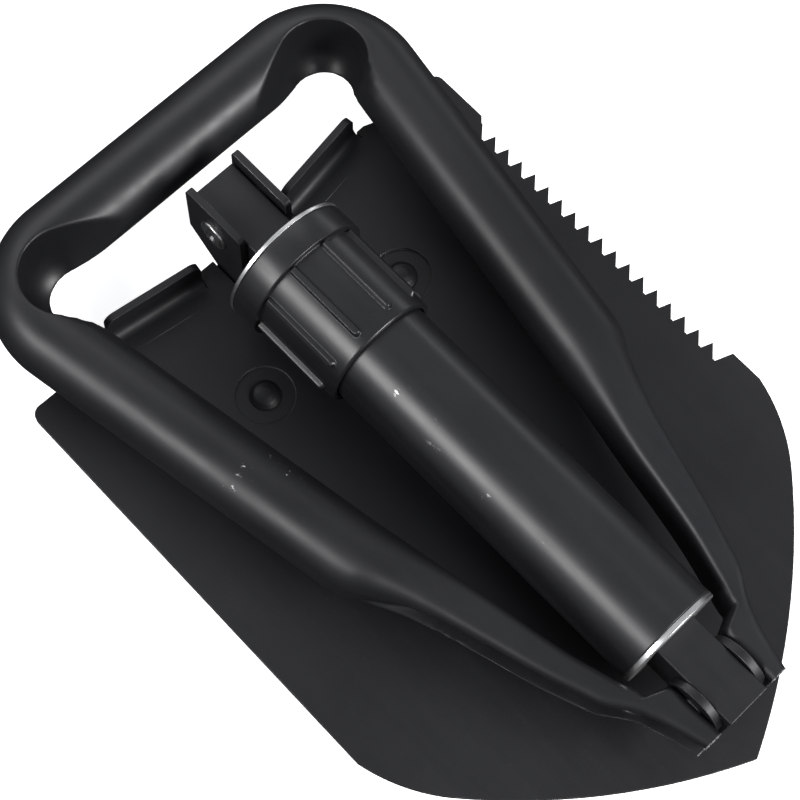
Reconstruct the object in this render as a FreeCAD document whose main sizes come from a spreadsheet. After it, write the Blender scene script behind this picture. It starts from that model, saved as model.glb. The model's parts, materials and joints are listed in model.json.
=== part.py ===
"""Tri-fold camp shovel in its stored position, as a parametric document.

Every piece is first drawn in the hinge frame: X across the blade, Y along the shaft with y = 0 at the
blade pivot pin and the grip on the +Y side, Z up from the ground. Pieces that turn about the shaft are
drawn about z = 0. place() then sets each finished piece in the part's own frame, whose origin is the
bottom centre of the whole folded shovel.
"""

import FreeCAD, Part
import math
import os
import Sketcher

V = FreeCAD.Vector

DIMENSIONS = {
    # whole object
    "pin_line": 76.63,            # Y of the blade pivot pin, from the middle of the folded shovel
    "axis_height": 24.6,         # shaft axis above the ground
    "between_pins": 172.0,       # blade pivot pin to handle pivot pin
    # blade
    "blade_thick": 2.0,
    "blade_half": 74.4,          # half width over the straight sides
    "blade_rear_half": 74.2,     # half width at the rear corners
    "blade_tip": 192.5,          # blade pin to tip
    "blade_wide_at": 124.0,      # blade pin to the widest corners
    "blade_bow_half": 63.2,      # half width where the shoulder curve meets the point curve
    "blade_bow_at": 146.0,
    "shoulder_radius": 52.0,
    "point_radius": 190.0,
    "rear_corner_radius": 3.2,
    "rear_corner_at": 1.0,       # rear edge behind the pin, outside the foot flanges
    "trough_radius": 926.0,      # the blade is pressed to a shallow trough
    "trough_height": 5.29,       # blade top over the ground on the centre line, below the pin
    "blade_pitch": 0.978,        # the blade falls towards its tip, in degrees
    "stock_top": 30.0,
    "rear_tab": 3.0,             # rear edge just outside the foot flanges
    "notch_tab": 1.5,            # rear edge between the foot flanges and the ears
    "notch_half": 9.6,           # notch in the rear edge for the two ears
    "notch_depth": 12.0,
    # foot flanges
    "flange_start": 16.0,
    "flange_end": 45.2,
    "flange_start_y": -3.6,      # where the bend begins, at each end
    "flange_end_y": 0.5,
    "flange_rise": 9.2,          # above the blade's top face
    "flange_bend": 3.0,          # inside radius of the bend
    "flange_corner": 3.0,
    "flange_slit": 0.5,          # narrow relief cut beside each flange
    # serrated side
    "saw_start": 17.5,
    "saw_end": 113.3,
    "saw_inset": 1.7,
    "tooth_pitch": 5.22,
    "tooth_depth": 4.0,
    "tooth_steep": 3.65,
    "tooth_first": 19.6,
    "tooth_count": 18,
    "gullet_radius": 0.6,
    # hinge bracket, rivets and blade pin
    "bracket_thick": 2.5,
    "bracket_front": 46.0,
    "bracket_wing_half": 33.0,
    "bracket_wing_at": 27.0,
    "bracket_rear_half": 12.0,
    "ear_flat": 10.5,            # pivot pin to each square flat of the ears
    "ear_outer": 9.0,
    "ear_inner": 7.0,
    "ear_chamfer_z": 14.4,
    "ear_corner": 1.5,
    "rivet_x": 25.2,
    "rivet_y": 36.5,
    "rivet_hole": 2.6,
    "rivet_head": 4.3,
    "rivet_dome": 2.3,
    "recess_radius": 8.15,
    "recess_depth": 0.5,
    "pin_radius": 3.5,
    "pin_head": 4.6,
    "pin_head_thick": 1.3,
    "pin_dish": 1.8,
    "pin_dish_depth": 0.9,
    "fit_gap": 0.05,             # radial clearance of the running fits
    # spine channel
    "spine_half": 6.5,
    "spine_top": 6.5,            # above the shaft axis
    "spine_bottom": 8.5,         # below the shaft axis
    "spine_wall": 2.2,
    "spine_rear": 9.6,           # behind the blade pin
    "spine_front": 9.3,          # past the handle pin
    "spine_edge": 0.6,
    "bush_radius": 4.2,
    # shaft tube
    "tube_radius": 15.0,
    "tube_bore": 13.3,
    "tube_rear": 42.5,
    "tube_front": 155.0,
    "cap_thick": 1.8,
    "cap_spigot": 6.0,
    "sleeve_front": 54.5,        # end of the sleeve's press-fit spigot inside the tube
    "sleeve_rear": 24.5,
    "sleeve_bore": 12.0,
    "thread_major": 14.9,
    "thread_depth": 0.6,
    "thread_lead": 3.0,
    "thread_grooves": 5,
    "bush_length": 14.0,
    "window_gap": 0.25,          # gap between the spine and the windows it runs through
    # locking collar
    "ring_face": 17.0,           # blade pin to the bright front face
    "ring_thick": 1.2,
    "collar_flange": 19.0,
    "collar_body": 17.0,
    "collar_flange_end": 26.2,
    "collar_end": 54.0,
    "collar_thread": 15.0,
    "collar_tail_from": 41.5,
    "collar_tail_bore": 15.35,
    "collar_edge": 0.8,
    "ring_bore": 12.2,
    "hub_radius": 13.5,
    "hub_end": 22.7,
    "snap_at": 20.6,
    "snap_thick": 1.0,
    "snap_outer": 14.5,
    "snap_inner": 13.05,
    "groove_floor": 12.95,
    "rib_count": 10,
    "rib_half": 0.95,
    "rib_end": 49.8,
    "rib_top": 18.2,
    "rib_turn": 18.0,            # degrees from the vertical to the first rib
    # handle
    "handle_height": 21.0,       # centre plane of the bent tube above the ground
    "grip_y": 28.84,
    "grip_radius": 10.4,
    "grip_wall": 1.2,
    "corner_radius": 18.6,
    "leg_slope": 0.176,          # the legs close in towards the hinge: X per Y
    "leg_at_pin": 57.08,         # centre line of the round leg beside the blade pin
    "leg_round_end": 86.0,
    "press_wall": 2.4,           # both walls of the tube, pressed together
    "handle_end": 9.3,           # past the handle pin
    "washer_radius": 8.0,
    "washer_thick": 2.1,
}

# The pressed part of a leg: its outline at stations from the end of the round tube to the leg's end.
# station from the blade pin, inner side, outer side, underside, top side, corner radius
LEG_STATIONS = {
    "pinch": (96.0, 30.2, 47.5, 10.8, 31.2, 7.5),
    "fold": (106.0, 28.6, 40.6, 11.4, 30.8, 4.5),
    "upper": (114.0, 27.2, 36.6, 11.8, 30.4, 3.0),
    "middle": (126.0, 24.9, 33.9, 12.0, 30.2, 2.6),
    "lower": (142.0, 21.6, 30.2, 12.4, 30.0, 2.6),
    "neck": (156.0, 17.5, 25.2, 13.2, 30.0, 2.6),
    "step": (162.6, 15.4, 21.0, 14.4, 30.0, 2.6),
    "flat": (163.0, 8.9, 20.6, 15.0, 30.0, 2.6),
    "pivot": (172.0, 8.9, 16.8, 15.0, 30.0, 2.6),
    "end": (181.3, 8.9, 14.2, 15.0, 30.0, 2.6),
}
STATION_FIELDS = ("at", "inner", "outer", "low", "top", "corner")

doc = FreeCAD.newDocument("camp_shovel")
sheet = doc.addObject("Spreadsheet::Sheet", "dims")


def fill_sheet():
    rows = dict(DIMENSIONS)
    for station, values in LEG_STATIONS.items():
        for field, number in zip(STATION_FIELDS, values):
            rows["leg_" + station + "_" + field] = number
    for row, (alias, number) in enumerate(rows.items(), start=1):
        sheet.set("A%d" % row, alias.replace("_", " "))
        sheet.set("B%d" % row, str(number))
        sheet.setAlias("B%d" % row, alias)
    doc.recompute()


def value(formula):
    """The number that a formula of the sheet's names stands for."""
    result = sheet.evalExpression(str(formula))
    return float(getattr(result, "Value", result))


def bind(thing, formulas):
    for prop, formula in formulas.items():
        thing.setExpression(prop, str(formula))
    return thing


def new(kind, name, formulas=None, links=None):
    thing = doc.addObject(kind, name)
    for prop, link in (links or {}).items():
        setattr(thing, prop, link)
    return bind(thing, formulas or {})


def place(thing, on_axis=False):
    """Moves a finished piece from the hinge frame to the part's frame."""
    bind(thing, {"Placement.Base.y": "dims.pin_line"})
    if on_axis:
        bind(thing, {"Placement.Base.z": "dims.axis_height"})
    return thing


def outline(sketch, points, arcs=None):
    """Closes a profile through points given as formulas; arcs maps an edge's number to
    (radius, side), with side +1 for a bulge to the left of the way round and -1 to the right."""
    arcs = arcs or {}
    places = [V(value(u), value(v), 0) for u, v in points]
    ends = []
    for number, start in enumerate(places):
        stop = places[(number + 1) % len(places)]
        if number in arcs:
            radius, side = value(arcs[number][0]), arcs[number][1]
            chord = stop - start
            half = chord.Length / 2
            rise = radius - math.sqrt(radius * radius - half * half)
            across = V(-chord.y, chord.x, 0).normalize()
            middle = (start + stop) * 0.5 + across * (rise * side)
            edge = sketch.addGeometry(Part.Arc(start, middle, stop), False)
            forward = sketch.getPoint(edge, 1).distanceToPoint(start) < 1e-6
            ends.append((edge, 1, 2) if forward else (edge, 2, 1))
            row = sketch.addConstraint(Sketcher.Constraint("Radius", edge, radius))
            sketch.setExpression("Constraints[%d]" % row, arcs[number][0])
        else:
            edge = sketch.addGeometry(Part.LineSegment(start, stop), False)
            ends.append((edge, 1, 2))
    for number, (edge, first, last) in enumerate(ends):
        follower, follower_first, _ = ends[(number + 1) % len(ends)]
        sketch.addConstraint(Sketcher.Constraint("Coincident", edge, last, follower, follower_first))
    for (edge, first, last), spot, (u, v) in zip(ends, places, points):
        for kind, number, formula in (("DistanceX", spot.x, u), ("DistanceY", spot.y, v)):
            row = sketch.addConstraint(Sketcher.Constraint(kind, -1, 1, edge, first, number))
            sketch.setExpression("Constraints[%d]" % row, str(formula))
    return sketch


def sketch_in(body, name, plane):
    sketch = body.newObject("Sketcher::SketchObject", name)
    base = [o for o in body.Origin.OriginFeatures if o.Role == plane][0]
    sketch.AttachmentSupport = [(base, "")]
    sketch.MapMode = "FlatFace"
    doc.recompute()
    return sketch


def turned(name, points, arcs=None, plane="YZ_Plane", axis="H_Axis"):
    """A body of revolution: its half profile, turned about the shaft's line by default."""
    body = doc.addObject("PartDesign::Body", name)
    profile = outline(sketch_in(body, name + "_profile", plane), points, arcs)
    turn = body.newObject("PartDesign::Revolution", name + "_turned")
    turn.Profile = profile
    turn.ReferenceAxis = (profile, [axis])
    turn.Angle = 360
    body.Tip = turn
    doc.recompute()
    return body


def padded(name, points, length, plane, arcs=None, symmetric=True):
    body = doc.addObject("PartDesign::Body", name)
    profile = outline(sketch_in(body, name + "_profile", plane), points, arcs)
    pad = body.newObject("PartDesign::Pad", name + "_pad")
    pad.Profile = profile
    bind(pad, {"Length": length})
    pad.Midplane = symmetric
    body.Tip = pad
    doc.recompute()
    return body


def rounded(body, name, radius, wanted):
    """Rounds the body's edges whose two ends and middle satisfy wanted(start, stop)."""
    before = body.Tip
    edges = []
    for number, edge in enumerate(before.Shape.Edges, start=1):
        if len(edge.Vertexes) == 2 and wanted(edge.Vertexes[0].Point, edge.Vertexes[1].Point):
            edges.append("Edge%d" % number)
    fillet = body.newObject("PartDesign::Fillet", name)
    fillet.Base = (before, edges)
    bind(fillet, {"Radius": radius})
    body.Tip = fillet
    doc.recompute()
    return body


def cylinder(name, radius, height, base, turn_axis=None, turn=0.0):
    """A cylinder along +Z, or turned about an axis, with its base circle's centre at base."""
    piece = new("Part::Cylinder", name, {"Radius": radius, "Height": height})
    if turn_axis:
        piece.Placement.Rotation = FreeCAD.Rotation(turn_axis, turn)
    for letter, formula in zip("xyz", base):
        bind(piece, {"Placement.Base." + letter: formula})
    return piece


def box(name, low, size):
    piece = new("Part::Box", name, {"Length": size[0], "Width": size[1], "Height": size[2]})
    for letter, formula in zip("xyz", low):
        bind(piece, {"Placement.Base." + letter: formula})
    return piece


def cut(name, base, tool):
    return new("Part::Cut", name, links={"Base": base, "Tool": tool})


def joined(name, pieces):
    return new("Part::MultiFuse", name, links={"Shapes": pieces})


def common(name, pieces):
    return new("Part::MultiCommon", name, links={"Shapes": pieces})


def mirrored(name, source):
    return new("Part::Mirroring", name, links={"Source": source, "Normal": V(1, 0, 0)})


def trough_shell(name, inside, outside):
    """A layer of sheet between two depths below the blade's pressed top face."""
    walls = []
    for side, depth in (("outer", outside), ("inner", inside)):
        wall = new(
            "Part::Cylinder",
            name + "_" + side,
            {
                "Radius": "dims.trough_radius + " + depth,
                "Height": "2 * dims.blade_tip",
                "Placement.Base.y": "dims.blade_tip / 2",
                "Placement.Base.z": "dims.trough_height + dims.trough_radius / cos(dims.blade_pitch)"
                " + dims.blade_tip / 2 * tan(dims.blade_pitch)",
            },
        )
        wall.Placement.Rotation = FreeCAD.Rotation(V(1, 0, 0), 90)
        bind(wall, {"Placement.Rotation.Angle": "90 + dims.blade_pitch"})
        walls.append(wall)
    return cut(name, *walls)


# ---------------------------------------------------------------- blade group


def blade_outline():
    """The blade's outline in plan, as a tall block, with the saw teeth cut in its +X side."""
    half = [
        ("dims.blade_bow_half", "-dims.blade_bow_at"),
        ("dims.blade_half", "-dims.blade_wide_at"),
        ("dims.blade_rear_half", "dims.rear_corner_at"),
        ("dims.flange_end + 8", "dims.rear_corner_at"),
        ("dims.flange_end + 3", "dims.rear_tab"),
        ("dims.flange_end + dims.flange_slit", "dims.rear_tab"),
        ("dims.flange_end + dims.flange_slit", "dims.flange_end_y"),
        ("dims.flange_end", "dims.flange_end_y"),
        ("dims.flange_start", "dims.flange_start_y"),
        ("dims.flange_start - dims.flange_slit", "dims.flange_start_y"),
        ("dims.flange_start - dims.flange_slit", "dims.notch_tab"),
        ("dims.notch_half", "dims.notch_tab"),
        ("dims.notch_half", "-dims.notch_depth"),
    ]
    other = [("-(" + x + ")", y) for x, y in reversed(half)]
    tip = [("0", "-dims.blade_tip")]
    points = tip + half + other
    last = len(points) - 1
    arcs = {
        0: ("dims.point_radius", -1),
        1: ("dims.shoulder_radius", -1),
        last - 1: ("dims.shoulder_radius", -1),
        last: ("dims.point_radius", -1),
    }
    body = padded("blade_stock", points, "2 * dims.stock_top", "XY_Plane", arcs)
    rear = value("dims.rear_corner_at")
    side = value("dims.blade_rear_half")

    def is_rear_corner(start, stop):
        return abs(start.y - rear) < 0.01 and abs(abs(start.x) - side) < 0.01 and abs(stop.x - start.x) < 0.01

    rounded(body, "rear_corners", "dims.rear_corner_radius", is_rear_corner)

    strip = outline(
        sketch_in(body, "saw_strip", "XY_Plane"),
        [
            ("dims.blade_half - dims.saw_inset", "-dims.saw_start - dims.saw_inset"),
            ("dims.blade_half + 4", "-dims.saw_start + 4"),
            ("dims.blade_half + 4", "-dims.saw_end"),
            ("dims.blade_half - dims.saw_inset", "-dims.saw_end"),
        ],
    )
    through_cut(body, "saw_strip_cut", strip)

    gullet = outline(
        sketch_in(body, "gullet", "XY_Plane"),
        [
            ("dims.blade_half - dims.saw_inset + 2", "-dims.tooth_first + 2 * dims.tooth_steep / dims.tooth_depth"),
            ("dims.blade_half - dims.saw_inset + 2", "-dims.tooth_first - dims.tooth_pitch"
             " - 2 * (dims.tooth_pitch - dims.tooth_steep) / dims.tooth_depth"),
            ("dims.blade_half - dims.saw_inset - dims.tooth_depth + dims.gullet_radius",
             "-dims.tooth_first - dims.tooth_steep - 0.35 * dims.gullet_radius"),
            ("dims.blade_half - dims.saw_inset - dims.tooth_depth + dims.gullet_radius",
             "-dims.tooth_first - dims.tooth_steep + 0.85 * dims.gullet_radius"),
        ],
        {2: ("dims.gullet_radius", -1)},
    )
    tooth = through_cut(body, "gullet_cut", gullet)
    row = body.newObject("PartDesign::LinearPattern", "gullet_row")
    row.Originals = [tooth]
    row.Direction = (gullet, ["V_Axis"])
    row.Reversed = True
    bind(row, {"Length": "dims.tooth_pitch * (dims.tooth_count - 1)", "Occurrences": "dims.tooth_count"})
    body.Tip = row
    doc.recompute()
    return body


def through_cut(body, name, sketch):
    before = body.Tip.Shape.Volume
    pocket = body.newObject("PartDesign::Pocket", name)
    pocket.Profile = sketch
    pocket.Type = "ThroughAll"
    pocket.Midplane = True
    body.Tip = pocket
    doc.recompute()
    if not pocket.Shape.Volume < before - 0.01:
        raise SystemExit(name + " cuts nothing")
    return pocket


def foot_flange():
    """One turned-up foot flange: a bend and an upright, along the rear edge on the +X side."""
    rise = "dims.flange_rise"
    outer_bend = "(dims.flange_bend + dims.blade_thick)"
    points = [
        ("-4", "-dims.blade_thick"),
        ("0", "-dims.blade_thick"),
        (outer_bend, "dims.flange_bend"),
        (outer_bend, rise),
        ("dims.flange_bend", rise),
        ("dims.flange_bend", "dims.flange_bend"),
        ("0", "0"),
        ("-4", "0"),
    ]
    arcs = {1: (outer_bend, -1), 5: ("dims.flange_bend", 1)}
    run = "sqrt((dims.flange_end - dims.flange_start) ^ 2 + (dims.flange_end_y - dims.flange_start_y) ^ 2)"
    body = padded("flange_strip", points, run, "YZ_Plane", arcs, symmetric=False)
    length = value(run)
    top = value(rise)

    def is_top_corner(start, stop):
        at_end = min(abs(start.x), abs(start.x - length)) < 0.01
        return at_end and abs(start.z - top) < 0.01 and abs(stop.z - top) < 0.01 and abs(start.x - stop.x) < 0.01

    rounded(body, "flange_corners", "dims.flange_corner", is_top_corner)
    across = "(dims.flange_end - dims.flange_start)"
    yaw = value("atan((dims.flange_end_y - dims.flange_start_y) / " + across + ")")
    climb = value("atan((dims.flange_end + dims.flange_start) / 2 / dims.trough_radius)")
    body.Placement.Rotation = FreeCAD.Rotation(yaw, -climb, 0)
    bind(
        body,
        {
            "Placement.Base.x": "dims.flange_start",
            "Placement.Base.y": "dims.flange_start_y",
            "Placement.Base.z": "dims.trough_height + dims.flange_start ^ 2 / 2 / dims.trough_radius"
            " + dims.flange_start_y * tan(dims.blade_pitch) - 0.03",
        },
    )
    return body


def make_blade():
    plate = common("blade_plate", [blade_outline(), trough_shell("blade_sheet", "0", "dims.blade_thick")])
    flange = foot_flange()
    whole = joined("blade_pressed", [plate, flange, mirrored("flange_other", flange)])
    tools = []
    for side, sign in (("right", "1"), ("left", "-1")):
        spot = (sign + " * dims.rivet_x", "-dims.rivet_y")
        tools.append(cylinder("rivet_hole_" + side, "dims.rivet_hole", "dims.stock_top", spot + ("-5",)))
        floor = "dims.trough_height + dims.rivet_x ^ 2 / 2 / dims.trough_radius"
        floor += " - dims.rivet_y * tan(dims.blade_pitch) - dims.recess_depth"
        tools.append(cylinder("recess_" + side, "dims.recess_radius", "10", spot + (floor,)))
    return place(cut("blade", whole, joined("rivet_seats", tools)))


def make_bracket():
    """The saddle under the blade, with the two ears that stand up through the notch."""
    saddle_half = [
        ("dims.bracket_wing_half - 4", "-dims.bracket_front"),
        ("dims.bracket_wing_half", "-dims.bracket_front + 4"),
        ("dims.bracket_wing_half", "-dims.bracket_wing_at - 4"),
        ("dims.bracket_wing_half - 6", "-dims.bracket_wing_at"),
        ("dims.bracket_rear_half", "-14"),
        ("dims.bracket_rear_half", "0.5"),
    ]
    points = saddle_half + [("-(" + x + ")", y) for x, y in reversed(saddle_half)]
    stock = padded("saddle_stock", points, "2 * dims.stock_top", "XY_Plane")
    layer = trough_shell("saddle_sheet", "dims.blade_thick", "(dims.blade_thick + dims.bracket_thick)")
    saddle = common("saddle", [stock, layer])

    top = "dims.axis_height + dims.ear_flat"
    root_z = "dims.trough_height - dims.blade_thick - dims.bracket_thick + 0.5"
    profile = [
        ("-dims.ear_flat", root_z),
        ("0.5", root_z),
        ("0.5", "dims.trough_height - 1"),
        ("dims.ear_flat", "dims.ear_chamfer_z"),
        ("dims.ear_flat", top),
        ("-dims.ear_flat", top),
    ]
    ears = padded("ear_block", profile, "2 * dims.ear_outer", "YZ_Plane")
    flat = value("dims.ear_flat")
    high = value(top)

    def is_top_corner(start, stop):
        return abs(abs(start.y) - flat) < 0.01 and abs(start.z - high) < 0.01 and abs(stop.y - start.y) < 0.01 \
            and abs(stop.z - high) < 0.01

    rounded(ears, "ear_corners", "dims.ear_corner", is_top_corner)
    gap = box(
        "ear_gap",
        ("-dims.ear_inner", "-30", "dims.trough_height - dims.blade_thick"),
        ("2 * dims.ear_inner", "60", "60"),
    )
    holes = [cross_bore("ear_bore", "dims.pin_radius", "0")]
    for side, sign in (("right", "1"), ("left", "-1")):
        spot = (sign + " * dims.rivet_x", "-dims.rivet_y", "-5")
        holes.append(cylinder("saddle_hole_" + side, "dims.rivet_hole", "dims.stock_top", spot))
    body = joined("bracket_blank", [cut("two_ears", ears, gap), saddle])
    return place(cut("hinge_bracket", body, joined("bracket_holes", holes)))


def cross_bore(name, radius, station):
    """A bore along X, through everything, at the height of the shaft axis."""
    base = ("-40", "-(" + station + ")", "dims.axis_height")
    return cylinder(name, radius, "80", base, V(0, 1, 0), 90)


def make_rivets():
    """Two rivets: a domed head on the blade, a shank and a flush foot in the bracket."""
    bottom = "dims.blade_thick + dims.bracket_thick - dims.recess_depth"
    points = [
        ("0", "-(" + bottom + ")"),
        ("dims.rivet_hole", "-(" + bottom + ")"),
        ("dims.rivet_hole", "0"),
        ("dims.rivet_head", "0"),
        ("0", "dims.rivet_dome"),
    ]
    dome = "(dims.rivet_head ^ 2 + dims.rivet_dome ^ 2) / 2 / dims.rivet_dome"
    rivet = turned("rivet", points, {3: (dome, -1)}, "XZ_Plane", "V_Axis")
    bind(
        rivet,
        {
            "Placement.Base.x": "dims.rivet_x",
            "Placement.Base.y": "-dims.rivet_y",
            "Placement.Base.z": "dims.trough_height + dims.rivet_x ^ 2 / 2 / dims.trough_radius"
            " - dims.rivet_y * tan(dims.blade_pitch) - dims.recess_depth",
        },
    )
    pair = new("Part::Compound", "blade_rivets")
    pair.Links = [rivet, mirrored("rivet_other", rivet)]
    return place(pair)


def headed_pin(name, half_length, station):
    """A pin along X with a domed, dished head at each end; half_length reaches the heads' inner faces."""
    end = "(" + half_length + " + dims.pin_head_thick)"
    half = [
        (end + " - dims.pin_dish_depth", "0"),
        (end, "dims.pin_dish"),
        (end, "dims.pin_dish + 0.8"),
        (half_length, "dims.pin_head"),
        (half_length, "dims.pin_radius"),
    ]
    points = half + [("-(" + x + ")", r) for x, r in reversed(half)]
    body = turned(name, points, plane="XZ_Plane")
    bind(body, {"Placement.Base.z": "dims.axis_height"})
    bind(body, {"Placement.Base.y": "dims.pin_line - (" + station + ")"})
    return body


def spacer_bush(name, station):
    """A spacer tube on a pivot pin, inside the spine channel."""
    inner = "(dims.pin_radius + dims.fit_gap)"
    reach = "(dims.spine_half - dims.spine_wall)"
    points = [("-" + reach, inner), (reach, inner), (reach, "dims.bush_radius"), ("-" + reach, "dims.bush_radius")]
    body = turned(name, points, plane="XZ_Plane")
    bind(body, {"Placement.Base.z": "dims.axis_height"})
    bind(body, {"Placement.Base.y": "dims.pin_line - (" + station + ")"})
    return body


# ---------------------------------------------------------------- spine and shaft


def make_spine():
    """A channel bar, open below, that carries both pivots and runs through the shaft tube."""
    half = "dims.spine_half"
    inner = "(dims.spine_half - dims.spine_wall)"
    points = [
        ("-" + half, "-dims.spine_bottom"),
        ("-" + inner, "-dims.spine_bottom"),
        ("-" + inner, "dims.spine_top - dims.spine_wall"),
        (inner, "dims.spine_top - dims.spine_wall"),
        (inner, "-dims.spine_bottom"),
        (half, "-dims.spine_bottom"),
        (half, "dims.spine_top"),
        ("-" + half, "dims.spine_top"),
    ]
    length = "dims.spine_rear + dims.between_pins + dims.spine_front"
    body = padded("spine_blank", points, length, "XZ_Plane", symmetric=False)
    edge_x = value(half)
    edge_z = value("dims.spine_top")

    def is_long_top_edge(start, stop):
        on_edge = abs(abs(start.x) - edge_x) < 0.01 and abs(start.z - edge_z) < 0.01
        return on_edge and abs(stop.z - edge_z) < 0.01 and abs(stop.x - start.x) < 0.01

    rounded(body, "spine_edges", "dims.spine_edge", is_long_top_edge)
    bind(body, {"Placement.Base.y": "dims.spine_rear", "Placement.Base.z": "dims.axis_height"})
    bores = [
        cross_bore("spine_bore_rear", "dims.pin_radius + dims.fit_gap", "0"),
        cross_bore("spine_bore_front", "dims.pin_radius + dims.fit_gap", "dims.between_pins"),
    ]
    return place(cut("spine_channel", body, joined("spine_bores", bores)))


def spine_window(name):
    """The rectangular way that lets the spine through, with a sliding gap all round."""
    gap = "dims.window_gap"
    return box(
        name,
        ("-dims.spine_half - " + gap, "-200", "-dims.spine_bottom - " + gap),
        ("2 * (dims.spine_half + " + gap + ")", "220", "dims.spine_bottom + dims.spine_top + 2 * " + gap),
    )


def make_tube():
    points = [
        ("-dims.tube_rear", "dims.tube_bore"),
        ("-dims.tube_rear", "dims.tube_radius"),
        ("-dims.tube_front", "dims.tube_radius"),
        ("-dims.tube_front", "dims.tube_bore"),
    ]
    return place(turned("shaft_tube", points), on_axis=True)


def make_end_cap():
    edge = "0.3"
    points = [
        ("-dims.tube_front + dims.cap_spigot", "0"),
        ("-dims.tube_front + dims.cap_spigot", "dims.tube_bore"),
        ("-dims.tube_front", "dims.tube_bore"),
        ("-dims.tube_front", "dims.tube_radius - " + edge),
        ("-dims.tube_front - " + edge, "dims.tube_radius"),
        ("-dims.tube_front - dims.cap_thick + " + edge, "dims.tube_radius"),
        ("-dims.tube_front - dims.cap_thick", "dims.tube_radius - " + edge),
        ("-dims.tube_front - dims.cap_thick", "0"),
    ]
    return place(cut("tube_end_cap", turned("cap_blank", points), spine_window("cap_window")), on_axis=True)


def make_sleeve():
    """The threaded sleeve: a spigot pressed into the tube, and the collar's thread as plain grooves."""
    points = [
        ("-dims.sleeve_rear", "dims.sleeve_bore"),
        ("-dims.sleeve_rear", "dims.thread_major - 0.5"),
        ("-dims.sleeve_rear - 0.5", "dims.thread_major"),
        ("-dims.tube_rear", "dims.thread_major"),
        ("-dims.tube_rear", "dims.tube_bore"),
        ("-dims.sleeve_front", "dims.tube_bore"),
        ("-dims.sleeve_front", "dims.sleeve_bore"),
    ]
    body = turned("threaded_sleeve", points)
    middle = "(-dims.sleeve_rear - dims.thread_lead)"
    groove = [
        (middle + " + dims.thread_lead / 3", "dims.thread_major + 0.1"),
        (middle, "dims.thread_major - dims.thread_depth"),
        (middle + " - dims.thread_lead / 3", "dims.thread_major + 0.1"),
    ]
    ring_grooves(body, "sleeve_thread", groove)
    return place(body, on_axis=True)


def ring_grooves(body, name, points):
    """Cuts one ring groove and repeats it every thread lead, away from the blade pin."""
    before = body.Tip.Shape.Volume
    profile = outline(sketch_in(body, name + "_profile", "YZ_Plane"), points)
    groove = body.newObject("PartDesign::Groove", name + "_groove")
    groove.Profile = profile
    groove.ReferenceAxis = (profile, ["H_Axis"])
    groove.Angle = 360
    body.Tip = groove
    doc.recompute()
    if not groove.Shape.Volume < before - 0.01:
        raise SystemExit(name + " cuts nothing")
    row = body.newObject("PartDesign::LinearPattern", name + "_row")
    row.Originals = [groove]
    row.Direction = (profile, ["H_Axis"])
    row.Reversed = True
    bind(row, {"Length": "dims.thread_lead * (dims.thread_grooves - 1)", "Occurrences": "dims.thread_grooves"})
    body.Tip = row
    doc.recompute()


def guide_bush(name, radius, station):
    """A block turned to the bore it is pressed in, with the spine's window through it."""
    points = [
        ("-(" + station + ")", "0"),
        ("-(" + station + ")", radius),
        ("-(" + station + " + dims.bush_length)", radius),
        ("-(" + station + " + dims.bush_length)", "0"),
    ]
    blank = turned(name + "_blank", points)
    return place(cut(name, blank, spine_window(name + "_window")), on_axis=True)


# ---------------------------------------------------------------- locking collar


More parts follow.
